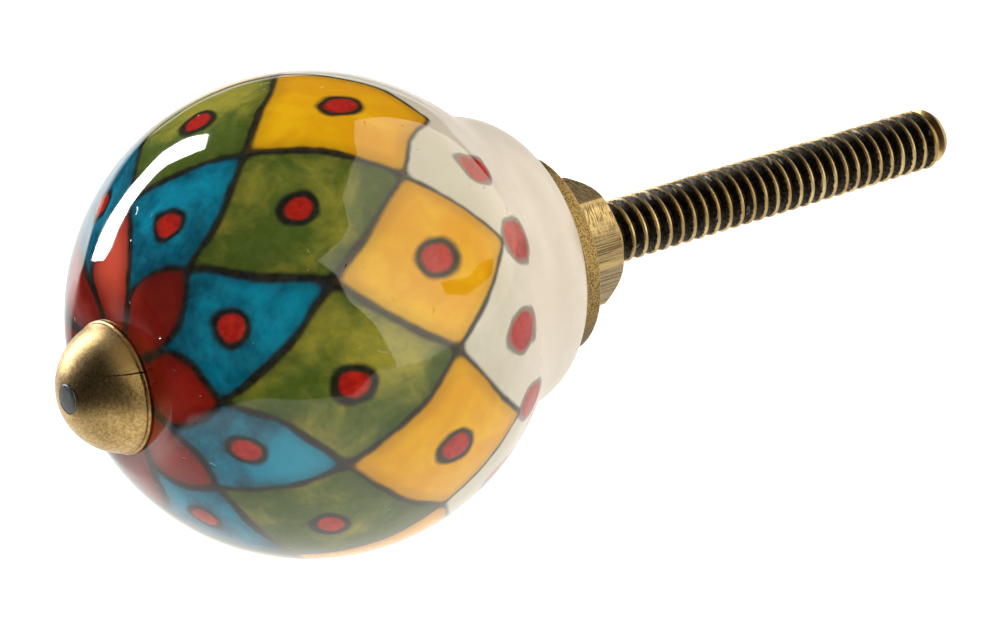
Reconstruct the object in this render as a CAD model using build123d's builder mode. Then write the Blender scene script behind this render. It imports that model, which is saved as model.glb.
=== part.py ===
from build123d import *
import os
from math import cos, radians, sin, sqrt, tan

os.makedirs("parts", exist_ok=True)

# Ceramic cabinet knob on a threaded rod, with a flanged nut behind it and a brass cap in front.
# Millimetres. The rod lies along Y, its tip at +Y and the face of the knob at -Y, with +Z up.
# The origin is the centre of the nut's end face, which bears on the door or drawer front.
# Heights are counted forwards from that face, towards the face of the knob.

# Threaded rod
thread_radius = 2.25  # over the crests of a 3/16 in. thread
thread_reach = 31.0  # from the nut's end face to the tip
tip_chamfer_length = 0.8
tip_chamfer_depth = 0.45
shank_radius = 2.0  # the stretch that the nut grips, and on through the ceramic
spigot_radius = 1.0  # turned-down end, riveted through the cap
rivet_proud = 0.06  # how far the riveted end stands out of the cap
shoulder_clearance = 0.05  # from the rod's shoulder to the inside of the cap

# Flanged nut
nut_across_flats = 8.0
nut_turn = 3.3  # degrees about the rod, as it was left when tightened
hexagon_length = 4.05
end_face_radius = 3.9  # flat of the end face, inside the corner chamfers
corner_chamfer_angle = 35.0
flange_radius = 7.0
flange_thickness = 1.2
flange_edge_chamfer = 0.15
nut_clearance = 0.05  # from the nut to the shank, all round
mouth_radius = 2.45  # countersunk mouth of the hole, clear of the thread

# Ceramic body
ball_radius = 16.1
ball_height = 17.25  # from the foot's end face to the ball's centre
face_flat_radius = 6.2  # the ball is cut flat under the cap, to this radius before rounding
face_round = 5.0
collar_radius = 10.4
collar_round = 5.1
collar_height = 4.85  # from the foot's end face to the widest part of the collar
neck_round = 4.0
ceramic_shift = 0.55  # the ceramic sits off the rod's axis, by its loose fit
ceramic_shift_turn = 122.0  # degrees from +X towards +Z
bore_clearance = 0.1  # from the bore to the shank on the tight side

# Pressed cap
cap_radius = 4.35
cap_height = 3.75
cap_wall = 0.4
rim_height = 0.4  # turned-over rim, a low band round the foot of the dome
rim_proud = 0.08  # how far the rim stands out of the dome
rim_thickness = 0.5
rim_chamfer = 0.12
cap_shift = 0.15  # the cap sits off the rod's axis the other way, by the play in its hole
cap_shift_turn = 302.0  # degrees from +X towards +Z
cap_hole_clearance = 0.05  # from the hole to the spigot on the tight side
seam_width = 0.12  # split in the sheet, from the rim inwards
seam_inner_radius = 2.3
seam_turn = 33.0  # degrees from +X towards +Z

# Where the pieces meet, as heights from the nut's end face
foot_height = hexagon_length + flange_thickness
ball_centre = foot_height + ball_height
face_height = ball_centre + sqrt(ball_radius**2 - face_flat_radius**2)

# The cap is the part of a sphere between its rim and its tip
dome_radius = (cap_radius**2 + cap_height**2) / (2 * cap_height)
dome_centre = face_height + cap_height - dome_radius
dome_inner_radius = dome_radius - cap_wall

# Half sections are drawn with x across the axis and y forwards
rod_section = Plane(origin=(0, 0, 0), x_dir=(1, 0, 0), z_dir=(0, 0, -1))
ceramic_x = ceramic_shift * cos(radians(ceramic_shift_turn))
ceramic_z = ceramic_shift * sin(radians(ceramic_shift_turn))
ceramic_section = Plane(origin=(ceramic_x, 0, ceramic_z), x_dir=(1, 0, 0), z_dir=(0, 0, -1))
ceramic_axis = Axis((ceramic_x, 0, ceramic_z), (0, 1, 0))
cap_x = cap_shift * cos(radians(cap_shift_turn))
cap_z = cap_shift * sin(radians(cap_shift_turn))
cap_section = Plane(origin=(cap_x, 0, cap_z), x_dir=(1, 0, 0), z_dir=(0, 0, -1))
cap_axis = Axis((cap_x, 0, cap_z), (0, 1, 0))


# Ceramic: a ball and a rounded collar, cut flat at the face and at the foot
collar_centre = (collar_radius - collar_round, foot_height + collar_height)
bore_radius = shank_radius + ceramic_shift + bore_clearance
corner = (Align.MIN, Align.MIN)

with BuildPart() as ceramic_knob:
    with BuildSketch(ceramic_section) as ceramic_half:
        with Locations((0, ball_centre)):
            Circle(ball_radius)
        with Locations(collar_centre):
            Circle(collar_round)
        with Locations((0, foot_height)):
            Rectangle(collar_centre[0], collar_height, align=corner)
        with Locations((bore_radius, foot_height)):
            Rectangle(2 * ball_radius, face_height - foot_height, align=corner, mode=Mode.INTERSECT)
        outline = ceramic_half.vertices().filter_by(lambda v: v.X > bore_radius + 0.001)
        face_corner = outline.sort_by(Axis.Y)[-1]
        neck_corner = outline.filter_by_position(Axis.Y, collar_centre[1], ball_centre - 0.001)
        fillet(face_corner, face_round)
        fillet(neck_corner, neck_round)
    revolve(axis=ceramic_axis)

ceramic_knob.part.label = "ceramic_knob"
export_step(ceramic_knob.part, "parts/ceramic_knob.step")


# Nut: a hexagon with chamfered corners and a round flange against the ceramic
corner_radius = nut_across_flats / 2 / cos(radians(30))
corner_chamfer = (corner_radius - end_face_radius) * tan(radians(corner_chamfer_angle))
nut_bore_radius = shank_radius + nut_clearance

with BuildPart() as flange_nut:
    with BuildSketch(Plane.XZ):
        RegularPolygon(nut_across_flats / 2, 6, major_radius=False, rotation=nut_turn)
    extrude(amount=hexagon_length)
    with BuildSketch(rod_section):
        with BuildLine():
            Polyline(
                (0, 0),
                (end_face_radius, 0),
                (corner_radius, corner_chamfer),
                (corner_radius, hexagon_length),
                (0, hexagon_length),
                close=True,
            )
        make_face()
    revolve(axis=Axis.Y, mode=Mode.INTERSECT)
    with BuildSketch(Plane.XZ.offset(hexagon_length)):
        Circle(flange_radius)
    flange = extrude(amount=flange_thickness)
    flange_rim = flange_nut.edges().filter_by(GeomType.CIRCLE).group_by(SortBy.RADIUS)[-1]
    chamfer(flange_rim, flange_edge_chamfer)
    with BuildSketch(Plane.XZ):
        Circle(nut_bore_radius)
    extrude(amount=foot_height, mode=Mode.SUBTRACT)
    mouth = flange_nut.faces().sort_by(Axis.Y)[-1].inner_wires().edges()
    chamfer(mouth, mouth_radius - nut_bore_radius)

flange_nut.part.label = "flange_nut"
export_step(flange_nut.part, "parts/flange_nut.step")


# Cap: a thin dome with a turned-over rim, a hole for the spigot and a split seam
hole_radius = spigot_radius + cap_shift + cap_hole_clearance
rim_radius = cap_radius + rim_proud
seam_plane = Plane(
    origin=(cap_x, -face_height, cap_z),
    x_dir=(cos(radians(seam_turn)), 0, sin(radians(seam_turn))),
    z_dir=(0, -1, 0),
)

with BuildPart() as front_cap:
    with BuildSketch(cap_section) as cap_half:
        with Locations((0, dome_centre)):
            Circle(dome_radius)
            Circle(dome_inner_radius, mode=Mode.SUBTRACT)
        with Locations((hole_radius, face_height)):
            Rectangle(2 * cap_radius, 2 * cap_height, align=corner, mode=Mode.INTERSECT)
        with Locations((rim_radius, face_height)):
            Rectangle(rim_thickness, rim_height, align=(Align.MAX, Align.MIN))
        chamfer(cap_half.vertices().group_by(Axis.X)[-1], rim_chamfer)
    revolve(axis=cap_axis)
    with BuildSketch(seam_plane):
        with Locations((seam_inner_radius, 0)):
            Rectangle(cap_radius, seam_width, align=(Align.MIN, Align.CENTER))
    extrude(amount=cap_height, mode=Mode.SUBTRACT)

front_cap.part.label = "front_cap"
export_step(front_cap.part, "parts/front_cap.step")


# Rod: threaded from the nut to the tip, a plain shank inside, and a spigot through the cap
shoulder_reach = shank_radius + cap_shift
shoulder_height = dome_centre + sqrt(dome_inner_radius**2 - shoulder_reach**2) - shoulder_clearance
rivet_height = dome_centre + sqrt(dome_radius**2 - spigot_radius**2) + rivet_proud

with BuildPart() as threaded_rod:
    with BuildSketch(rod_section):
        with BuildLine():
            Polyline(
                (0, -thread_reach),
                (thread_radius - tip_chamfer_depth, -thread_reach),
                (thread_radius, tip_chamfer_length - thread_reach),
                (thread_radius, 0),
                (shank_radius, 0),
                (shank_radius, shoulder_height),
                (spigot_radius, shoulder_height),
                (spigot_radius, rivet_height),
                (0, rivet_height),
                close=True,
            )
        make_face()
    revolve(axis=Axis.Y)

threaded_rod.part.label = "threaded_rod"
export_step(threaded_rod.part, "parts/threaded_rod.step")
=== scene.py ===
from math import cos, degrees, hypot, pi, radians, sin, sqrt, tan

import bpy
from mathutils import Matrix, Vector


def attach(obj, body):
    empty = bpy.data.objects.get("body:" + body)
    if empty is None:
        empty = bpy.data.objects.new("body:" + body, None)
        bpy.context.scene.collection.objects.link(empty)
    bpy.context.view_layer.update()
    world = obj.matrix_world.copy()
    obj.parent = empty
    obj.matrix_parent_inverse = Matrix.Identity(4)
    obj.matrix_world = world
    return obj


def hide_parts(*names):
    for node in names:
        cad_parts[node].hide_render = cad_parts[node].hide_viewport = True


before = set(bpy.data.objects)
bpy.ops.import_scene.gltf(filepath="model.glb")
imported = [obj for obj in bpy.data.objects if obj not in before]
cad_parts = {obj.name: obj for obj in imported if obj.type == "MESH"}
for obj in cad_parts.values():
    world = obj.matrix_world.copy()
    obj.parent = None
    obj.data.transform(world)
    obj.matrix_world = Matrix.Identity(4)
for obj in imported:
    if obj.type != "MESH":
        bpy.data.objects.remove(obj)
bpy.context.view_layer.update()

# Painted ceramic cabinet knob. The rod lies along Y, the face of the knob looks along -Y and +Z is up.
# Sizes are in millimetres here and become metres in the mesh. Heights are counted forwards, along -Y,
# from the nut's end face at the origin, and radii from the axis that a piece is turned about.
MM = 0.001
weld_reach = 0.002 * MM  # vertices nearer than this are merged

# Ceramic body
ball_radius = 16.097
ball_centre = 22.5
face_flat_radius = 6.5
face_round = 3.5
foot_height = 5.25
collar_radius = 10.4
collar_round = 5.1
collar_height = 4.85
neck_round = 4.0
bore_radius = 2.65
ceramic_shift = 0.55
ceramic_shift_turn = 122.0
face_reach = sqrt(ball_radius**2 - face_flat_radius**2)
face_height = ball_centre + face_reach
ceramic_x = ceramic_shift * cos(radians(ceramic_shift_turn))
ceramic_z = ceramic_shift * sin(radians(ceramic_shift_turn))

# The ball was formed, ground flat and painted about a pole of its own, a little off the rod
pole_tilt = 5.24
front = Vector((0, -1, 0))
towards_tilt = Vector((0.8472, 0, 0.5311)).normalized()
side = front.cross(towards_tilt)
pole = cos(radians(pole_tilt)) * front + sin(radians(pole_tilt)) * towards_tilt
level = cos(radians(pole_tilt)) * towards_tilt - sin(radians(pole_tilt)) * front
ball_hub = Vector((ceramic_x, -ball_centre, ceramic_z))

# Cap
cap_radius = 4.35
cap_height = 3.75
cap_wall = 0.4
cap_back = 1.23  # from the middle of the tipped face back towards the rod
cap_aside = 0.85
cap_seat = ball_hub + face_reach * pole - cap_back * level - cap_aside * side
bead_radius = 0.17  # of the turned-over rim
bead_reach = 4.42
groove_reach = 4.27  # where the dome ends and the groove above the rim starts
rivet_radius = 0.96
rivet_gap = 0.03
rivet_place = 0.25 * towards_tilt + 0.15 * side
seam_width = 0.2
seam_start = Vector((1.9, 0, 2.33))
seam_end = Vector((4.9, 0, 2.83))
dome_radius = (cap_radius**2 + cap_height**2) / (2 * cap_height)
dome_centre = face_height + cap_height - dome_radius

# Nut and rod
nut_across_flats = 8.0
nut_turn = 3.3
hexagon_length = 4.05
end_face_radius = 3.9
corner_chamfer_angle = 35.0
flange_radius = 7.0
nut_clearance = 0.05
thread_radius = 2.25
thread_root_radius = 1.64
thread_pitch = 25.4 / 24
thread_crest_place = 2.194  # from the nut's end face to a crest on the +X side
thread_reach = 31.0
tip_chamfer_length = 0.8
tip_chamfer_depth = 0.45
shank_radius = 2.0
mouth_radius = 2.45
shoulder_height = 38.4  # the shank ends inside the cap

floor_level = -45.0

# Modelling


def make_active(piece):
    bpy.ops.object.select_all(action="DESELECT")
    piece.select_set(True)
    bpy.context.view_layer.objects.active = piece


def apply_place(piece):
    make_active(piece)
    bpy.ops.object.transform_apply(location=True, rotation=True, scale=True)


def smooth_by_angle(piece, angle=30.0):
    make_active(piece)
    bpy.ops.object.shade_smooth_by_angle(angle=radians(angle))


def turned_piece(name, start, moves, steps=128, axis_x=0.0, axis_z=0.0):
    """Draws a half section from its start and turns it about the knob's axis.

    A move is (radius, height) for a straight run, or (centre, end, steps) for an arc.
    """
    bpy.ops.object.select_all(action="DESELECT")
    place = Vector((axis_x + start[0], -start[1], axis_z)) * MM
    bpy.ops.mesh.primitive_plane_add(size=MM, location=place)
    piece = bpy.context.object
    piece.name = name
    piece.data.name = name
    apply_place(piece)
    bpy.ops.object.mode_set(mode="EDIT")
    bpy.ops.mesh.select_all(action="SELECT")
    bpy.ops.mesh.merge(type="CENTER")
    radius, height = start
    for move in moves:
        if len(move) == 2:
            step = Vector((move[0] - radius, height - move[1], 0)) * MM
            bpy.ops.mesh.extrude_region_move(TRANSFORM_OT_translate={"value": step})
            radius, height = move
        else:
            (centre_radius, centre_height), end, arc_steps = move
            arm = Vector((radius - centre_radius, centre_height - height))
            end_arm = Vector((end[0] - centre_radius, centre_height - end[1]))
            turn = arm.angle_signed(end_arm)
            hub = Vector((axis_x + centre_radius, -centre_height, axis_z)) * MM
            bpy.ops.mesh.spin(steps=arc_steps, angle=turn, center=hub, axis=(0, 0, 1))
            reach = end_arm.normalized() * arm.length
            radius, height = centre_radius + reach.x, centre_height - reach.y
    bpy.ops.mesh.select_all(action="SELECT")
    bpy.ops.mesh.remove_doubles(threshold=weld_reach)
    bpy.ops.mesh.select_all(action="SELECT")
    hub = Vector((axis_x, 0, axis_z)) * MM
    bpy.ops.mesh.spin(steps=steps, angle=2 * pi, center=hub, axis=(0, 1, 0))
    bpy.ops.mesh.select_all(action="SELECT")
    bpy.ops.mesh.remove_doubles(threshold=weld_reach)
    bpy.ops.mesh.normals_make_consistent(inside=False)
    bpy.ops.mesh.select_all(action="DESELECT")
    bpy.ops.object.mode_set(mode="OBJECT")
    return piece


def combine(piece, tool, operation):
    """Cuts, keeps or adds the tool's solid, and removes the tool."""
    modifier = piece.modifiers.new("combine", "BOOLEAN")
    modifier.operation = operation
    modifier.solver = "EXACT"
    modifier.object = tool
    make_active(piece)
    bpy.ops.object.modifier_apply(modifier=modifier.name)
    bpy.data.objects.remove(tool)


def soften_edges(piece, width, segments=2, angle=30.0):
    modifier = piece.modifiers.new("soften", "BEVEL")
    modifier.width = width * MM
    modifier.segments = segments
    modifier.limit_method = "ANGLE"
    modifier.angle_limit = radians(angle)
    make_active(piece)
    bpy.ops.object.modifier_apply(modifier=modifier.name)


def meeting_point(first, first_reach, second, second_reach):
    """The point at these distances from two points of a half section, on the outer side."""
    apart = hypot(second[0] - first[0], second[1] - first[1])
    along = (first_reach**2 - second_reach**2 + apart**2) / (2 * apart)
    aside = sqrt(first_reach**2 - along**2)
    radius_step = (second[0] - first[0]) / apart
    height_step = (second[1] - first[1]) / apart
    radius = first[0] + along * radius_step + aside * abs(height_step)
    return radius, first[1] + along * height_step + aside * radius_step


def model_ceramic():
    collar = (collar_radius - collar_round, foot_height + collar_height)
    foot_edge = (collar[0] + sqrt(collar_round**2 - collar_height**2), foot_height)
    ball = (0, ball_centre)
    neck = meeting_point(ball, ball_radius + neck_round, collar, collar_round + neck_round)
    face = (sqrt((ball_radius - face_round) ** 2 - (face_height - face_round - ball_centre) ** 2),
            face_height - face_round)
    moves = [
        foot_edge,
        (collar, (collar[0] + 1, collar[1]), 26),
        (collar, neck, 16),
        (neck, ball, 18),
        (ball, (1, ball_centre), 22),
        (ball, face, 56),
        (face, (face[0], face_height), 14),
        (bore_radius, face_height),
        (bore_radius, foot_height),
    ]
    knob = turned_piece("ceramic", (bore_radius, foot_height), moves, 256)
    tip_face(knob)
    knob.rotation_euler.y = -towards_tilt.angle(Vector((1, 0, 0)))
    knob.location = Vector((ceramic_x, 0, ceramic_z)) * MM
    apply_place(knob)
    smooth_by_angle(knob)
    return knob


def tip_face(knob):
    """Turns the face about the ball's centre, ring by ring, so that the ball stays round."""
    rounds = 8
    widest = 64.0
    narrowing = 3.6
    hub = Vector((0, -ball_centre, 0)) * MM
    from_pole = [degrees((vertex.co - hub).angle(front)) for vertex in knob.data.vertices]
    for number in range(rounds):
        edge = widest - narrowing * number
        for vertex, angle in zip(knob.data.vertices, from_pole):
            vertex.select = angle < edge
        bpy.ops.object.mode_set(mode="EDIT")
        bpy.ops.transform.rotate(
            value=-radians(pole_tilt / rounds), orient_axis="Z", orient_type="GLOBAL", center_override=hub
        )
        bpy.ops.mesh.select_all(action="DESELECT")
        bpy.ops.object.mode_set(mode="OBJECT")


def dome_height(radius, reach):
    return dome_centre + sqrt(reach**2 - radius**2)


def seat_on_face(piece):
    """Moves a piece from the rod's axis to its seat on the tipped face."""
    turn = Matrix.Rotation(radians(pole_tilt), 4, side)
    lowered = Matrix.Translation(Vector((0, face_height, 0)) * MM)
    piece.matrix_world = Matrix.Translation(cap_seat * MM) @ turn @ lowered
    apply_place(piece)


def model_cap():
    inner_reach = dome_radius - cap_wall
    inner_edge = sqrt(inner_reach**2 - (face_height - dome_centre) ** 2)
    bead = (bead_reach - bead_radius, face_height + bead_radius)
    groove = (4.252, face_height + 0.365)
    bead_top = (bead[0] - 0.01, bead[1] + 0.168)
    dome = (0, dome_centre)
    moves = [
        (dome, (groove_reach, dome_height(groove_reach, dome_radius)), 56),
        groove,
        bead_top,
        (bead, (bead[0] + 1, bead[1] + 1), 8),
        (bead, (bead[0] + 1, bead[1] - 1), 12),
        (bead, (bead[0], bead[1] - 1), 6),
        (inner_edge, face_height),
        (dome, (0, dome_centre + inner_reach), 32),
    ]
    cap = turned_piece("brass_cap", (0, dome_centre + dome_radius), moves, 192)

    # The split is a three-sided wedge, 1.5 long and sqrt(3) wide before scaling, with its point inwards
    along = seam_end - seam_start
    reach = along.length / 1.5
    middle = seam_start + along.normalized() * reach
    bpy.ops.mesh.primitive_cylinder_add(vertices=3, radius=1, depth=2)
    slit = bpy.context.object
    slit.scale = Vector((seam_width / sqrt(3), reach, cap_height)) * MM
    slit.rotation_euler = (radians(90), Vector((-along.z, -along.x)).angle_signed(Vector((1, 0))), 0)
    slit.location = Vector((middle.x, -face_height - 0.5, middle.z)) * MM
    apply_place(slit)
    combine(cap, slit, "DIFFERENCE")
    bpy.ops.object.select_all(action="DESELECT")
    bpy.ops.mesh.primitive_cylinder_add(
        vertices=72,
        radius=(rivet_radius + rivet_gap) * MM,
        depth=3 * MM,
        location=(rivet_place - Vector((0, face_height + cap_height, 0))) * MM,
        rotation=(radians(90), 0, 0),
    )
    drill = bpy.context.object
    apply_place(drill)
    combine(cap, drill, "DIFFERENCE")
    smooth_by_angle(cap, 35.0)
    seat_on_face(cap)
    return cap


def model_nut():
    corner_radius = nut_across_flats / 2 / cos(radians(30))
    nut_bore_radius = shank_radius + nut_clearance
    overlap = 0.3
    past_foot = 6
    length = hexagon_length + overlap
    bpy.ops.object.select_all(action="DESELECT")
    bpy.ops.mesh.primitive_cylinder_add(
        vertices=6,
        radius=corner_radius * MM,
        depth=length * MM,
        location=(0, -length / 2 * MM, 0),
        rotation=(radians(90), radians(30 - nut_turn), 0),
    )
    nut = bpy.context.object
    nut.name = "brass_nut"
    apply_place(nut)
    outside = corner_radius + 1
    chamfer = (outside - end_face_radius) * tan(radians(corner_chamfer_angle))
    blank = turned_piece(
        "blank",
        (0, 0),
        [(end_face_radius, 0), (outside, chamfer), (outside, past_foot), (0, past_foot)],
        96,
    )
    combine(nut, blank, "INTERSECT")
    back_round = (flange_radius - 0.18, hexagon_length + 0.18)
    front_round = (flange_radius - 0.12, foot_height - 0.12)
    flange = turned_piece(
        "flange",
        (0, hexagon_length),
        [
            (back_round[0], hexagon_length),
            (back_round, (flange_radius, back_round[1]), 4),
            (flange_radius, front_round[1]),
            (front_round, (front_round[0], foot_height), 4),
            (0, foot_height),
        ],
        160,
    )
    combine(nut, flange, "UNION")
    bore = turned_piece(
        "bore",
        (0, -1),
        [
            (mouth_radius + 1, -1),
            (nut_bore_radius, mouth_radius - nut_bore_radius),
            (nut_bore_radius, past_foot),
            (0, past_foot),
        ],
        96,
    )
    combine(nut, bore, "DIFFERENCE")
    soften_edges(nut, 0.07, 2, 25.0)
    smooth_by_angle(nut, 30.0)
    return nut


def model_rod():
    """Draws one turn of thread, screws it along the rod, and trims it to the rod's turned blank."""
    crest = 0.12
    root = 0.3
    first = thread_crest_place - crest / 2 - 4 * thread_pitch
    flank = (thread_pitch - crest - root) / 2
    bpy.ops.object.select_all(action="DESELECT")
    bpy.ops.mesh.primitive_plane_add(size=MM, location=Vector((thread_radius, first, 0)) * MM)
    rod = bpy.context.object
    rod.name = "threaded_steel"
    apply_place(rod)
    bpy.ops.object.mode_set(mode="EDIT")
    bpy.ops.mesh.select_all(action="SELECT")
    bpy.ops.mesh.merge(type="CENTER")
    depth = thread_radius - thread_root_radius

    # How far inwards and along the rod each stretch of the profile goes
    for inwards, along in (
        (0, crest),
        (0.03, 0.03),
        (depth - 0.09, flank - 0.07),
        (0.06, 0.06),
        (0, root - 0.04),
        (-0.06, 0.06),
        (0.09 - depth, flank - 0.07),
        (-0.03, 0.03),
    ):
        step = Vector((-inwards, along, 0)) * MM
        bpy.ops.mesh.extrude_region_move(TRANSFORM_OT_translate={"value": step})
    bpy.ops.object.mode_set(mode="OBJECT")
    screw = rod.modifiers.new("screw", "SCREW")
    screw.axis = "Y"
    screw.angle = 2 * pi
    screw.screw_offset = thread_pitch * MM
    screw.iterations = 36
    screw.steps = 72
    screw.render_steps = 72
    screw.use_merge_vertices = True
    screw.merge_threshold = weld_reach
    make_active(rod)
    bpy.ops.object.modifier_apply(modifier=screw.name)
    bpy.ops.object.mode_set(mode="EDIT")
    for place, outwards in ((thread_reach, 1), (-0.6, -1)):
        bpy.ops.mesh.select_all(action="SELECT")
        bpy.ops.mesh.bisect(
            plane_co=(0, place * MM, 0),
            plane_no=(0, outwards, 0),
            use_fill=True,
            clear_outer=True,
            threshold=0.001 * MM,
        )
    bpy.ops.mesh.select_all(action="SELECT")
    bpy.ops.mesh.remove_doubles(threshold=weld_reach)
    bpy.ops.mesh.normals_make_consistent(inside=False)
    bpy.ops.object.mode_set(mode="OBJECT")
    slope = tip_chamfer_depth / tip_chamfer_length
    wide = 3
    narrow = 0.5
    wide_height = (wide - thread_radius) / slope + tip_chamfer_length - thread_reach
    narrow_height = (narrow - thread_radius) / slope + tip_chamfer_length - thread_reach
    blank = turned_piece(
        "blank",
        (0, 2),
        [(wide, 2), (wide, wide_height), (narrow, narrow_height), (0, narrow_height)],
        96,
    )
    combine(rod, blank, "INTERSECT")
    shank = turned_piece(
        "shank",
        (0, 0.1),
        [(shank_radius, 0.1), (shank_radius, shoulder_height), (0.9, shoulder_height), (0, shoulder_height)],
        64,
    )
    make_active(rod)
    shank.select_set(True)
    bpy.ops.object.join()
    smooth_by_angle(rod, 35.0)
    return rod


def model_rivet():
    """The turned-down end of the rod, hammered flat over the cap."""
    top = dome_height(rivet_radius, dome_radius) + 0.05
    middle_top = top + 0.02
    foot = top - 1.2
    edge_round = (rivet_radius - 0.1, top - 0.1)
    rivet = turned_piece(
        "rivet",
        (0, foot),
        [
            (rivet_radius, foot),
            (rivet_radius, edge_round[1]),
            (edge_round, (edge_round[0], top), 5),
            (0.5, middle_top),
            (0, middle_top),
        ],
        72,
        rivet_place.x,
        rivet_place.z,
    )
    smooth_by_angle(rivet, 50.0)
    seat_on_face(rivet)
    return rivet


# Finishes


def paint(red, green, blue):
    """A paint's linear colour from its 0 to 255 screen values."""
    linear = []
    for value in (red, green, blue):
        share = value / 255
        linear.append(share / 12.92 if share <= 0.04045 else ((share + 0.055) / 1.055) ** 2.4)
    return (*linear, 1.0)


class Number:
    """A number that varies over a surface. An expression on numbers adds Math nodes."""

    def __init__(self, finish, socket):
        self.finish = finish
        self.socket = socket

    def math(self, operation, *others):
        return self.finish.math(operation, self, *others)

    def __add__(self, other):
        return self.finish.math("ADD", self, other)

    def __radd__(self, other):
        return self.finish.math("ADD", other, self)

    def __sub__(self, other):
        return self.finish.math("SUBTRACT", self, other)

    def __rsub__(self, other):
        return self.finish.math("SUBTRACT", other, self)

    def __mul__(self, other):
        return self.finish.math("MULTIPLY", self, other)

    def __rmul__(self, other):
        return self.finish.math("MULTIPLY", other, self)

    def __truediv__(self, other):
        return self.finish.math("DIVIDE", self, other)

    def __rtruediv__(self, other):
        return self.finish.math("DIVIDE", other, self)

    def __pow__(self, other):
        return self.finish.math("POWER", self, other)


class Finish:
    """A material, or the world, whose nodes are added one by one."""

    def __init__(self, block, shader=None, constants=None):
        block.use_nodes = True
        self.tree = block.node_tree
        self.tree.nodes.clear()
        if shader is not None:
            self.shader = self.tree.nodes.new(shader)
            self.end("ShaderNodeOutputMaterial", Number(self, self.shader.outputs[0]))
        for socket, value in (constants or {}).items():
            self.show(socket, value)

    def end(self, kind, surface):
        output = self.tree.nodes.new(kind)
        self.put(output.inputs["Surface"], surface)

    def put(self, socket, value):
        if isinstance(value, Number):
            self.tree.links.new(value.socket, socket)
        else:
            socket.default_value = value

    def node(self, kind, settings=None, sockets=None, output=0):
        made = self.tree.nodes.new(kind)
        for name, value in (settings or {}).items():
            setattr(made, name, value)
        for name, value in (sockets or {}).items():
            self.put(made.inputs[name], value)
        return Number(self, made.outputs[output])

    def math(self, operation, *values):
        return self.node("ShaderNodeMath", {"operation": operation}, dict(enumerate(values)))

    def show(self, socket, value):
        self.put(self.shader.inputs[socket], value)

    def place(self, location=(0, 0, 0), rotation=(0, 0, 0), scale=(1000, 1000, 1000)):
        """Object coordinates in millimetres, moved, turned or stretched."""
        whole = self.node("ShaderNodeTexCoord", output="Object")
        return self.node(
            "ShaderNodeMapping",
            {"vector_type": "POINT"},
            {"Vector": whole, "Location": location, "Rotation": rotation, "Scale": scale},
        )

    def parts(self, vector):
        split = self.node("ShaderNodeSeparateXYZ", None, {"Vector": vector}).socket.node
        return [Number(self, output) for output in split.outputs]

    def noise(self, vector, scale, detail=2.0, roughness=0.5, distortion=0.0, output="Fac"):
        return self.node(
            "ShaderNodeTexNoise",
            {"normalize": True},
            {
                "Vector": vector,
                "Scale": scale,
                "Detail": detail,
                "Roughness": roughness,
                "Distortion": distortion,
            },
            output,
        )

    def spread(self, value, low, high, start=0.0, end=1.0, kind="LINEAR"):
        """Turns low to high into start to end, and holds the ends."""
        return self.node(
            "ShaderNodeMapRange",
            {"interpolation_type": kind, "clamp": True},
            {"Value": value, "From Min": low, "From Max": high, "To Min": start, "To Max": end},
        )

    def step(self, value, low, high, start=0.0, end=1.0):
        return self.spread(value, low, high, start, end, "SMOOTHSTEP")

    def mix(self, factor, first, second):
        """A colour between two colours."""
        return self.node("ShaderNodeMix", {"data_type": "RGBA"}, {0: factor, 6: first, 7: second}, 2)

    def choose(self, factor, first, second):
        """A number between two numbers."""
        return self.node("ShaderNodeMix", {"data_type": "FLOAT"}, {0: factor, 2: first, 3: second})

    def combine(self, x, y, z):
        return self.node("ShaderNodeCombineXYZ", None, {0: x, 1: y, 2: z})

    def shifted(self, vector, nudge, amount):
        """A vector moved by a noise colour, up to half of this amount each way."""
        centred = self.node("ShaderNodeVectorMath", {"operation": "SUBTRACT"}, {0: nudge, 1: (0.5,) * 3})
        scaled = self.node("ShaderNodeVectorMath", {"operation": "SCALE"}, {0: centred, "Scale": amount})
        return self.node("ShaderNodeVectorMath", {"operation": "ADD"}, {0: vector, 1: scaled})

    def nearness(self, vector, place, reach):
        """One at a place, less and less round it, and nothing beyond this reach."""
        gap = self.node("ShaderNodeVectorMath", {"operation": "DISTANCE"}, {0: vector, 1: place}, 1)
        return self.step(gap, 0.0, reach, 1, 0)

    def slipped(self, vector, still, place, nudge, reach):
        """A vector drawn aside by a nudge round a place."""
        share = self.nearness(still, place, reach)
        back = [-part for part in nudge]
        scaled = self.node("ShaderNodeVectorMath", {"operation": "SCALE"}, {0: back, "Scale": share})
        return self.node("ShaderNodeVectorMath", {"operation": "ADD"}, {0: vector, 1: scaled})

    def bump(self, height, distance, strength=1.0, normal=None):
        sockets = {"Height": height, "Distance": distance * MM, "Strength": strength}
        if normal is not None:
            sockets["Normal"] = normal
        return self.node("ShaderNodeBump", None, sockets)


# The painted pattern is a harlequin: eight columns of diamonds round the ball's own pole. Angles are in
# degrees from that pole. Rows count from 0, the red petals, through teal, green and yellow to the white.
columns = 8
half_column = 180.0 / columns
petal_base = 18.3
row_angles = (37.3, 63.5, 91.1, 112.5)
dot_angles = (40.7, 64.6, 90.1)
gap_dot_angle = 113.1
tip_dot_angle = 118.0
pattern_turn = 2.38

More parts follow.
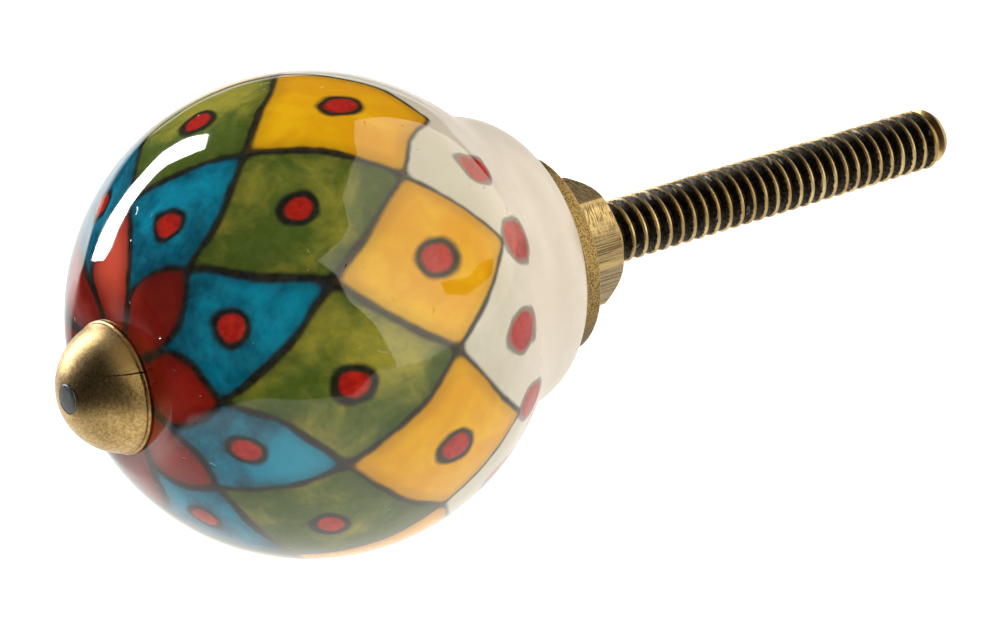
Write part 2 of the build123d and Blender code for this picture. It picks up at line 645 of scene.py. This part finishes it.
# Where the painter's hand slipped: a place in the pattern and how far it was drawn aside
slip_reach = 4.6
slips = (
    ((11.9, 9.2, -5.7), (1.42, -1.33, 0.47)),
    ((5.3, 15.2, -0.2), (-0.85, 0.33, 0.11)),
    ((6.9, -14.5, -0.6), (0.73, 0.33, -0.26)),
    ((8.8, 4.3, 12.8), (-0.24, 0.56, 0.0)),
    ((14.5, 0.6, 6.9), (0.12, 0.59, -0.28)),
    ((15.0, -5.7, -0.2), (0.18, 0.44, 0.06)),
    ((15.0, 5.8, -0.3), (0.14, -0.36, 0.0)),
    ((3.7, 9.6, 12.4), (-0.07, 0.56, -0.39)),
    ((8.6, -3.8, 13.0), (-0.77, -0.35, 0.44)),
    ((13.7, 5.1, -6.8), (0.01, -0.57, -0.45)),
    ((3.1, -3.8, 15.3), (-0.43, -0.18, 0.05)),
)

# Where the wash ran thin and pale, or dark where the share is negative: a place, a reach and a share
thin_washes = (
    ((5.0, 14.8, 3.9), 5.0, 0.5),
    ((13.0, -2.4, 9.3), 3.6, 0.2),
    ((15.0, -4.2, 4.2), 4.6, 0.4),
    ((14.3, 5.5, 4.9), 3.6, 0.3),
    ((9.5, 9.0, 9.5), 3.4, 0.15),
    ((12.4, 0.5, 10.2), 2.6, 0.07),
    ((8.8, -8.8, 10.2), 4.2, 0.3),
    ((11.7, 4.2, 10.2), 2.8, -0.12),
    ((11.9, -3.9, 10.1), 2.8, -0.12),
)

# Petals whose red is paler: a place, a reach and the colour there. The first, beside the strip's highlight,
# is a painted highlight.
pale_and_highlit_reds = (
    ((3.0, 6.4, 14.5), 4.2, paint(204, 80, 58)),
    ((5.3, -3.6, 14.8), 2.6, paint(146, 40, 28)),
    ((1.6, -5.6, 15.0), 3.4, paint(150, 46, 32)),
)


def pattern_place(finish):
    """Coordinates in millimetres from the ball's centre: Z along the pattern's pole, X at its zero."""
    turn = radians(pattern_turn)
    zero = cos(turn) * level + sin(turn) * side
    quarter = cos(turn) * side - sin(turn) * level
    turning = Matrix((zero, quarter, pole))
    return finish.place(-(turning @ ball_hub), turning.to_euler("XYZ"))


def painted_glaze():
    block = bpy.data.materials.new("painted glaze")
    finish = Finish(block, "ShaderNodeBsdfPrincipled", {"IOR": 1.68})
    still = pattern_place(finish)
    sway = finish.noise(still, 0.13, 1.0, output="Color")
    wobble = finish.noise(still, 0.6, 1.0, output="Color")
    hand = finish.shifted(finish.shifted(still, sway, 0.7), wobble, 0.22)
    for place, nudge in slips:
        hand = finish.slipped(hand, still, place, nudge, slip_reach)
    x, y, z = finish.parts(hand)
    reach = (x * x + y * y).math("SQRT")
    theta = reach.math("ARCTAN2", z) * degrees(1)
    across = y.math("ARCTAN2", x) * (degrees(1) / half_column)
    petal = finish.spread(theta, petal_base, row_angles[0])
    down = petal**1.8
    for low, high in zip(row_angles, row_angles[1:]):
        down = down + finish.spread(theta, low, high)
    down = down + finish.spread(theta, row_angles[3], 2 * tip_dot_angle - row_angles[3], 0, 2)

    # Each diamond has a whole number on its right-hand and on its left-hand side, and their sum is its row
    right = (down + across) * 0.5
    left = (down - across) * 0.5
    right_count = right.math("FLOOR")
    left_count = left.math("FLOOR")
    row = right_count + left_count
    right_part = right.math("FRACT")
    left_part = left.math("FRACT")
    after = [row.math("GREATER_THAN", place) for place in (-0.5, 0.5, 1.5, 2.5, 3.5)]

    def by_row(values):
        number = after[0] * (values[1] - values[0]) + values[0]
        for mask, low, high in zip(after[1:], values[1:], values[2:]):
            number = number + mask * (high - low)
        return number

    # Outlines
    round_slope = 1 / (reach * radians(half_column))
    beyond_petals = finish.step(theta, row_angles[0] - 0.5, row_angles[0] + 0.5)
    petal_slope = 0.337
    diamond_slope = 0.136
    down_slope = petal_slope * petal**0.8 * (1 - beyond_petals) + diamond_slope * beyond_petals
    slope = (round_slope * round_slope + down_slope * down_slope).math("SQRT")
    out_of_reach = 9
    no_far_side = after[3] * out_of_reach
    no_side = after[4] * out_of_reach
    right_gap = right_part.math("MINIMUM", 1 - right_part + no_far_side) + no_side
    left_gap = left_part.math("MINIMUM", 1 - left_part + no_far_side) + no_side
    line_gap = right_gap.math("SMOOTH_MIN", left_gap, 0.11) * 2 / slope
    pressure = finish.noise(still, 0.3, 2.0)
    pale_part = finish.step(theta, 78, 94)
    half_width = finish.spread(pressure, 0.32, 0.68, 0.16, 0.31) * (1 - 0.25 * pale_part)
    ragged = finish.noise(still, 1.6, 1.0)
    edge = line_gap + (ragged - 0.5) * 0.07 - half_width
    line = finish.step(edge, -0.16, 0.18, 1, 0)

    # Dots
    column = finish.choose(after[3], right_count - left_count, across.math("ROUND"))
    even = (column * 0.5).math("FRACT").math("COMPARE", 0.0, 0.25)
    low_angle = even * (tip_dot_angle - gap_dot_angle) + gap_dot_angle
    teal_dot, green_dot, yellow_dot = dot_angles
    high_angle = by_row((teal_dot, teal_dot, green_dot, yellow_dot, yellow_dot, yellow_dot))
    dot_angle = finish.choose(after[3], high_angle, low_angle)
    chance = finish.node(
        "ShaderNodeTexWhiteNoise",
        {"noise_dimensions": "3D"},
        {"Vector": finish.combine(column.math("WRAP", 7.5, -8.5), row, 3.0)},
        "Color",
    )
    chance_a, chance_b, chance_c = finish.parts(chance)
    astray = 0.3
    round_gap = (across - column) * reach * radians(half_column) + (chance_a - 0.5) * astray
    down_gap = (theta - dot_angle) * radians(ball_radius) + (chance_b - 0.5) * astray
    blob = finish.noise(still, 0.55, 1.0)
    swell = 1 + (blob - 0.5) * 0.5 + (chance_c - 0.5) * 0.12
    core_round = by_row((0.1, 0.78, 0.8, 0.88, 1.2, 1.25)) * swell
    core_down = by_row((0.1, 0.9, 0.82, 1.05, 1.4, 1.4)) * swell
    core_size = ((round_gap / core_round) ** 2 + (down_gap / core_down) ** 2).math("SQRT")
    core_gap = (core_size - 1) * 0.95
    ring_width = by_row((0.0, 0.52, 0.6, 0.48, 0.27, 0.27))
    lean = finish.noise(still, 0.8, 1.0)
    ring_gap = core_gap - ring_width * (0.7 + 0.6 * lean) + (ragged - 0.5) * 0.06
    ring_gap = ring_gap * (1 + after[3])
    left_out = after[3] * column.math("COMPARE", 2.0, 0.25)
    has_dot = finish.math("GREATER_THAN", row, -0.5) * finish.step(theta, 126, 127, 1, 0) * (1 - left_out)
    ring = finish.step(ring_gap, -0.24, 0.2, 1, 0) * has_dot
    core = finish.step(core_gap, -0.16, 0.16, 1, 0) * has_dot

    # Paint
    fleck = finish.noise(still, 1.4, 3.0, 0.6, 0.4)
    grain = finish.step(fleck, 0.3, 0.7)
    colour, *layers = five_paints(finish, still, hand, theta, grain)
    for mask, layer in zip(after, layers):
        colour = finish.mix(mask, colour, layer)
    pooled = finish.step(line_gap, 0.2, 1.4, 0.25, 0) * (1 - after[3])
    colour = finish.mix(pooled, colour, (0.0, 0.0, 0.0, 1.0))
    ink = finish.mix(grain, paint(16, 17, 14), paint(40, 38, 30))
    thin = finish.choose(after[3], 0.97, 0.68)
    colour = finish.mix(line * finish.spread(pressure, 0.3, 0.7, 0.88, 0.98), colour, ink)
    colour = finish.mix(ring * thin, colour, ink)
    colour = finish.mix(core, colour, finish.mix(grain, paint(150, 24, 16), paint(186, 40, 26)))
    finish.show("Base Color", colour)
    cover_with_glaze(finish, still, wobble, theta)
    return block


def five_paints(finish, still, hand, theta, grain):
    """Red, teal, green, yellow and white, each clouded by the wash. The white is thicker on the collar."""
    cloud = finish.noise(still, 0.3, 4.0, 0.6, 0.4)
    for place, reach, share in thin_washes:
        cloud = cloud + finish.nearness(hand, place, reach) * share
    wash = finish.step(cloud, 0.38, 0.8)
    red = finish.mix(wash, paint(112, 22, 12), paint(156, 34, 21))
    # The palest of these reds is a painted highlight beside the strip's highlight.
    for place, reach, pale in pale_and_highlit_reds:
        red = finish.mix(finish.nearness(hand, place, reach), red, pale)
    teal = finish.mix(wash, paint(0, 76, 98), paint(2, 142, 172))
    teal = finish.mix(grain * 0.2, teal, paint(40, 150, 180))
    green = finish.mix(finish.step(cloud, 0.44, 0.84), paint(70, 88, 26), paint(158, 149, 52))
    green = finish.mix(grain * 0.35, green, paint(96, 116, 52))
    yellow = finish.mix(wash, paint(225, 160, 2), paint(238, 185, 10))
    bare = finish.mix(wash, paint(202, 197, 181), paint(213, 209, 196))
    thick = finish.mix(wash, paint(221, 211, 200), paint(227, 220, 211))
    white = finish.mix(finish.step(theta, 104, 124), bare, thick)
    return red, teal, green, yellow, white


def cover_with_glaze(finish, still, wobble, theta):
    """Thick, glossy and not quite even, with a few tiny bubbles, and satin on the collar."""
    satin = finish.step(theta, 114, 124, 0, 0.26)
    finish.show("Roughness", finish.spread(finish.noise(still, 0.5, 3.0), 0.35, 0.65, 0.03, 0.07) + satin)
    waves = finish.noise(still, 0.11, 2.0)
    bubble = finish.node(
        "ShaderNodeTexVoronoi",
        {"feature": "F1"},
        {"Vector": finish.shifted(still, wobble, 2.0), "Scale": 0.75, "Randomness": 1.0},
        "Distance",
    )
    bubbly = finish.step(finish.noise(still, 0.16, 1.0), 0.46, 0.56)
    pits = finish.step(bubble, 0.04, 0.11, -1, 0) * bubbly
    finish.show("Normal", finish.bump(pits, 0.05, 0.8, finish.bump(waves, 0.18)))


def metal(name):
    block = bpy.data.materials.new(name)
    return block, Finish(block, "ShaderNodeBsdfPrincipled", {"Metallic": 1.0})


def antique_brass():
    """Filed across on the upper side of the hexagon, drawn along on the lower, and grainy on the flange."""
    block, finish = metal("antique brass")
    place = finish.place()
    x, y, z = finish.parts(place)
    reach = (x * x + z * z).math("SQRT")
    grain = finish.noise(place, 9.0, 3.0, 0.7)
    blotch = finish.noise(place, 0.45, 3.0, 0.6)
    drawn = finish.noise(finish.place(scale=(9500, 260, 9500)), 1.0, 2.0, 0.55)
    filed = finish.noise(finish.place(scale=(1500, 9800, 1500)), 1.0, 3.0, 0.6)
    on_flats = finish.step(y, -4.0, -3.85)
    drawn_part = finish.step(z * 0.847 - x * 0.531 + (blotch - 0.5) * 3, -0.6, 1.0, 1, 0)
    dark = paint(70, 54, 30)
    olive = finish.mix(finish.step(grain, 0.34, 0.66), paint(92, 75, 40), paint(200, 170, 112))
    across = finish.mix(finish.step(filed, 0.34, 0.6), paint(132, 106, 60), paint(246, 218, 160))
    along = finish.mix(finish.step(drawn, 0.36, 0.56), paint(112, 97, 68), paint(174, 154, 116))
    flats = finish.mix(drawn_part, across, along)
    flats = finish.mix(finish.step(grain, 0.56, 0.68, 0, 0.55), flats, dark)
    colour = finish.mix(on_flats, olive, flats)
    colour = finish.mix(finish.step(blotch, 0.5, 0.78, 0, 0.35), colour, dark)
    shaded = finish.step(z + x * 0.3 + (blotch - 0.5) * 3, -4.2, 2.8, 0.85, 0)
    colour = finish.mix(shaded * (1 - on_flats), colour, dark)
    # Painted shade: the hexagon's top flat is darkened.
    top = finish.step(z, 3.6, 3.8, 0, 0.3)
    colour = finish.mix(top * on_flats, colour, dark)
    worn = finish.step(reach + (grain - 0.5) * 0.2, 4.44, 4.56) * on_flats
    colour = finish.mix(worn * 0.6, colour, paint(222, 196, 140))
    end = finish.step(y + reach * 0.7 + (filed - 0.5) * 0.08, 2.66, 2.72) * finish.step(y, 0.02, -0.02)
    colour = finish.mix(end * 0.5, colour, paint(222, 196, 140))
    rim = finish.step(reach, 6.86, 6.94) * finish.step(y, -4.26, -4.14)
    colour = finish.mix(rim * 0.4, colour, paint(216, 190, 136))
    finish.show("Base Color", colour)
    finish.show("Roughness", finish.spread(grain + blotch * 0.6, 0.5, 1.1, 0.36, 0.58))
    cut = finish.bump(drawn * drawn_part * on_flats, 0.02, 0.5)
    cut = finish.bump(filed * (1 - drawn_part) * on_flats, 0.02, 0.6, cut)
    finish.show("Normal", finish.bump(grain, 0.02, 0.5, cut))
    return block


def cap_brass():
    """Brighter on its lower half, as painted light, and with a painted reflection at one place near the rim.
    """
    block, finish = metal("polished brass")
    place = finish.place()
    z = finish.parts(place)[2]
    grain = finish.noise(place, 9.0, 3.0, 0.7)
    smear = finish.noise(place, 0.42, 3.0, 0.6, 0.5)
    pits = finish.noise(place, 5.0, 1.0)
    specks = finish.noise(place, 4.5, 4.0, 0.75)
    speckled = finish.step(specks, 0.36, 0.62)
    colour = finish.mix(speckled, paint(132, 105, 62), paint(176, 149, 99))
    # Painted light: the lower half of the cap is a lighter brass, which brightens what it mirrors there.
    painted_light_brass = finish.mix(speckled, paint(162, 129, 77), paint(212, 181, 122))
    colour = finish.mix(finish.step(z + (smear - 0.5) * 2, -0.4, 1.4, 1, 0), colour, painted_light_brass)
    colour = finish.mix(finish.step(grain, 0.3, 0.7, 0, 0.4), colour, paint(196, 168, 114))
    colour = finish.mix(finish.step(smear, 0.5, 0.75, 0, 0.5), colour, paint(118, 92, 50))
    colour = finish.mix(finish.step(pits, 0.66, 0.74, 0, 0.5), colour, paint(226, 200, 142))
    # Painted reflection: the patch named rubbed is a bright, rougher spot near the rim that stands in for
    # window light caught there.
    rubbed = finish.nearness(place, (2.6, -37.4, 3.4), 2.2)
    colour = finish.mix(rubbed * 0.8, colour, paint(240, 204, 132))
    finish.show("Base Color", colour)
    finish.show("Roughness", finish.spread(smear + grain * 0.4, 0.45, 0.95, 0.3, 0.42) + rubbed * 0.35)
    relief = finish.bump(specks, 0.02, 0.6, finish.bump(smear, 0.1, 0.3))
    finish.show("Normal", finish.bump(grain, 0.012, 0.4, relief))
    return block


def rod_plating():
    """Dark in the thread, and rubbed through to brass on the crests and the tip."""
    block, finish = metal("worn plating")
    place = finish.place()
    x, y, z = finish.parts(place)
    reach = (x * x + z * z).math("SQRT")
    grain = finish.noise(place, 4.0, 3.0, 0.65)
    patch = finish.noise(place, 0.3, 2.0, 0.6)
    scratches = finish.noise(finish.place(rotation=(0.3, 0.2, 0.9), scale=(600, 5200, 600)), 1.0, 1.0)
    rubbed = finish.step(reach + (grain - 0.5) * 0.26 + (patch - 0.5) * 0.14, 2.08, 2.19)
    rubbed = rubbed * finish.step(z + (grain - 0.5) * 2.2, 0.9, 2.2, 1, 0.35)
    rubbed = rubbed.math("MAXIMUM", finish.step(y + (grain - 0.5) * 0.4, 30.0, 30.3))
    brass = finish.mix(finish.step(patch, 0.35, 0.65), paint(168, 138, 86), paint(212, 186, 134))
    grime = finish.mix(finish.step(grain, 0.3, 0.75), paint(14, 15, 18), paint(64, 58, 48))
    grime = finish.mix(finish.step(scratches, 0.68, 0.74, 0, 0.6), grime, paint(150, 146, 132))
    finish.show("Base Color", finish.mix(rubbed, grime, brass))
    finish.show("Roughness", finish.spread(rubbed + grain * 0.3, 0.1, 1.1, 0.5, 0.3))
    finish.show("Normal", finish.bump(grain, 0.02, 0.5))
    return block


def bare_steel():
    block, finish = metal("bare steel")
    place = finish.place()
    grain = finish.noise(place, 5.0, 3.0, 0.7)
    hammered = finish.noise(place, 1.6, 1.0)
    finish.show("Base Color", finish.mix(grain, paint(84, 92, 98), paint(132, 136, 134)))
    finish.show("Roughness", finish.spread(grain, 0.3, 0.7, 0.35, 0.5))
    finish.show("Normal", finish.bump(grain, 0.015, 0.6, finish.bump(hammered, 0.05, 0.6)))
    return block


def shown_directly(finish):
    """One for rays from the camera, and for those that metal or glass sends on."""
    rays = finish.node("ShaderNodeLightPath").socket.node.outputs
    names = ("Is Camera Ray", "Is Glossy Ray", "Is Transmission Ray")
    camera, glossy, transmitted = [Number(finish, rays[name]) for name in names]
    return camera, glossy.math("MAXIMUM", transmitted)


def floor_paper():
    """White to the camera. Mirrored in the knob, it has an edge and is dimmer under the knob."""
    block = bpy.data.materials.new("white paper")
    finish = Finish(block)
    camera, mirrored = shown_directly(finish)
    place = finish.place()
    x, y = finish.parts(place)[:2]
    bulge = finish.step((x - 130).math("ABSOLUTE"), 0, 190, 105, 0)
    beyond_edge = finish.step(y + bulge, -108, -84, 1, 0).math("MAXIMUM", finish.step(x, -700, -600, 1, 0))
    fibre = finish.noise(place, 0.4, 4.0, 0.6)
    tone = finish.mix(fibre, (0.86, 0.86, 0.86, 1), (0.9, 0.9, 0.9, 1))
    near = finish.step((x * x + (y + 60) ** 2).math("SQRT"), 40, 130, 1, 0)
    near = near.math("MAXIMUM", finish.nearness(place, (-160, -85, floor_level), 120))
    tone = finish.mix(mirrored * (1 - near), tone, (0.74, 0.74, 0.74, 1))
    tone = finish.mix(mirrored * beyond_edge, tone, (0.02, 0.02, 0.02, 1))
    shade = finish.nearness(place, (10, -85, floor_level), 75) * 0.5
    tone = finish.mix(mirrored * shade, tone, (0, 0, 0, 1))
    relief = finish.bump(fibre, 0.05, 0.2)
    lit = finish.node("ShaderNodeBsdfDiffuse", None, {"Color": tone, "Normal": relief})
    share = camera.math("MAXIMUM", mirrored * near * (1 - beyond_edge) * (1 - shade) * 0.8)
    white = finish.mix(share, (0, 0, 0, 1), (0.4, 0.4, 0.4, 1))
    glow = finish.node("ShaderNodeEmission", None, {"Color": white, "Strength": 1.0})
    finish.end("ShaderNodeOutputMaterial", finish.node("ShaderNodeAddShader", None, {0: lit, 1: glow}))
    return block


def lamp_cloth(name, strength, uneven):
    """A cloth lit evenly, or, as the window is, warmer on one side and dim round one place."""
    block = bpy.data.materials.new(name)
    finish = Finish(block, "ShaderNodeEmission", {"Color": (1, 1, 1, 1), "Strength": strength})
    if uneven:
        place = finish.place()
        x = finish.parts(place)[0]
        tone = finish.mix(finish.step(x, 550, 900), (0.72, 0.66, 0.54, 1), (1.0, 0.93, 0.78, 1))
        tone = finish.mix(finish.nearness(place, (422, 1045, 410), 520) * 0.7, tone, (0.2, 0.19, 0.17, 1))
        finish.show("Color", tone)
    return block


# Studio


def make_floor():
    bpy.ops.object.select_all(action="DESELECT")
    bpy.ops.mesh.primitive_circle_add(
        vertices=64, radius=4.0, fill_type="NGON", location=(0, 0, floor_level * MM)
    )
    floor = bpy.context.object
    floor.name = "floor"
    apply_place(floor)
    floor.data.materials.append(floor_paper())


def make_soft_light(name, centre, corners, distance, strength, uneven=False):
    """A lit cloth that faces the knob: its centre and its corners are azimuth and elevation in degrees."""
    hub = ball_hub * MM

    def spot(azimuth, elevation):
        a = radians(azimuth)
        e = radians(elevation)
        return hub + distance * Vector((cos(a) * cos(e), sin(a) * cos(e), sin(e)))

    bpy.ops.object.select_all(action="DESELECT")
    bpy.ops.mesh.primitive_circle_add(vertices=len(corners), radius=distance, fill_type="TRIFAN")
    cloth = bpy.context.object
    cloth.name = name
    apply_place(cloth)
    rim = [v for v in cloth.data.vertices if v.co.length > distance / 2]
    middle = [v for v in cloth.data.vertices if v.co.length <= distance / 2]
    for vertex, corner in zip(rim, corners):
        vertex.co = spot(*corner)
    for vertex in middle:
        vertex.co = spot(*centre)
    cloth.data.materials.append(lamp_cloth(name, strength, uneven))


def make_world():
    world = bpy.data.worlds.new("studio")
    bpy.context.scene.world = world
    finish = Finish(world)
    camera, mirrored = shown_directly(finish)
    room = finish.mix(mirrored, (0.55, 0.55, 0.55, 1), (0.05, 0.05, 0.055, 1))
    tone = finish.mix(camera, room, (1, 1, 1, 1))
    sky = finish.node("ShaderNodeBackground", None, {"Color": tone, "Strength": 1.0})
    finish.end("ShaderNodeOutputWorld", sky)


def make_camera():
    bpy.ops.object.camera_add(
        location=(0.161867, -0.116944, 0.097752),
        rotation=(radians(90 - 27.45), 0, radians(55.96)),
    )
    camera = bpy.context.object
    camera.data.sensor_width = 36
    camera.data.lens = 115.2
    camera.data.clip_start = 0.01
    bpy.context.scene.camera = camera


make_camera()
make_world()
make_floor()
window = [
    (130, 46), (109, 63), (38, 75), (10, 65), (-3, 60), (-28, 52), (-15, 43), (-10, 31),
    (0, 17), (6, 1), (8, -8), (60, -10), (102, -7), (108, 2), (118, 13), (122, 20),
]
make_soft_light("window_cloth", (60, 30), window, 1.2, 1.85, True)
curtain = [(41.0, 21.3), (56.9, 14.7), (65.5, 13.5), (73.9, 9.1), (68.3, 7.3), (50.4, 9.6), (40.3, 15.1)]
make_soft_light("curtain_cloth", (55.3, 13.3), curtain, 0.7, 0.1)
backdrop = [(107, -4), (112, 0), (119, 8.5), (124, 8), (131, 3.5), (143, 2), (168, 1), (172, -4), (140, -5)]
make_soft_light("backdrop_cloth", (135, -1), backdrop, 1.2, 0.75)
strip = [
    (-178.0, 35.2), (-177.1, 27.4), (-174.6, 19.6), (-168.4, 14.2), (-164.3, 7.6), (-161.6, 2.3),
    (-158.9, -1.8), (-157.7, -3.9), (-154.3, -3.8), (-149.1, -0.1), (-149.6, 2.9), (-149.4, 6.0),
    (-150.4, 9.0), (-152.4, 11.6), (-153.9, 12.9), (-156.5, 14.4), (-157.5, 15.9), (-158.1, 17.1),
    (-159.9, 20.3), (-162.4, 24.6), (-164.7, 29.1), (-165.7, 35.1), (-168.0, 41.2),
]
make_soft_light("strip_cloth", (-162, 13), strip, 0.45, 22.0)

view_settings = bpy.context.scene.view_settings
view_settings.view_transform = "Standard"

pieces = [
    (model_ceramic(), painted_glaze(), "glazed_ceramic", "ceramic_knob"),
    (model_cap(), cap_brass(), "cap_brass", "front_cap"),
    (model_nut(), antique_brass(), "antique_brass", "flange_nut"),
    (model_rod(), rod_plating(), "plated_steel", "threaded_rod"),
    (model_rivet(), bare_steel(), "plated_steel", "threaded_rod"),
]
for piece, material, slot, node in pieces:
    piece.data.materials.clear()
    piece.data.materials.append(material)
    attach(piece, "root")
    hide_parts(node)
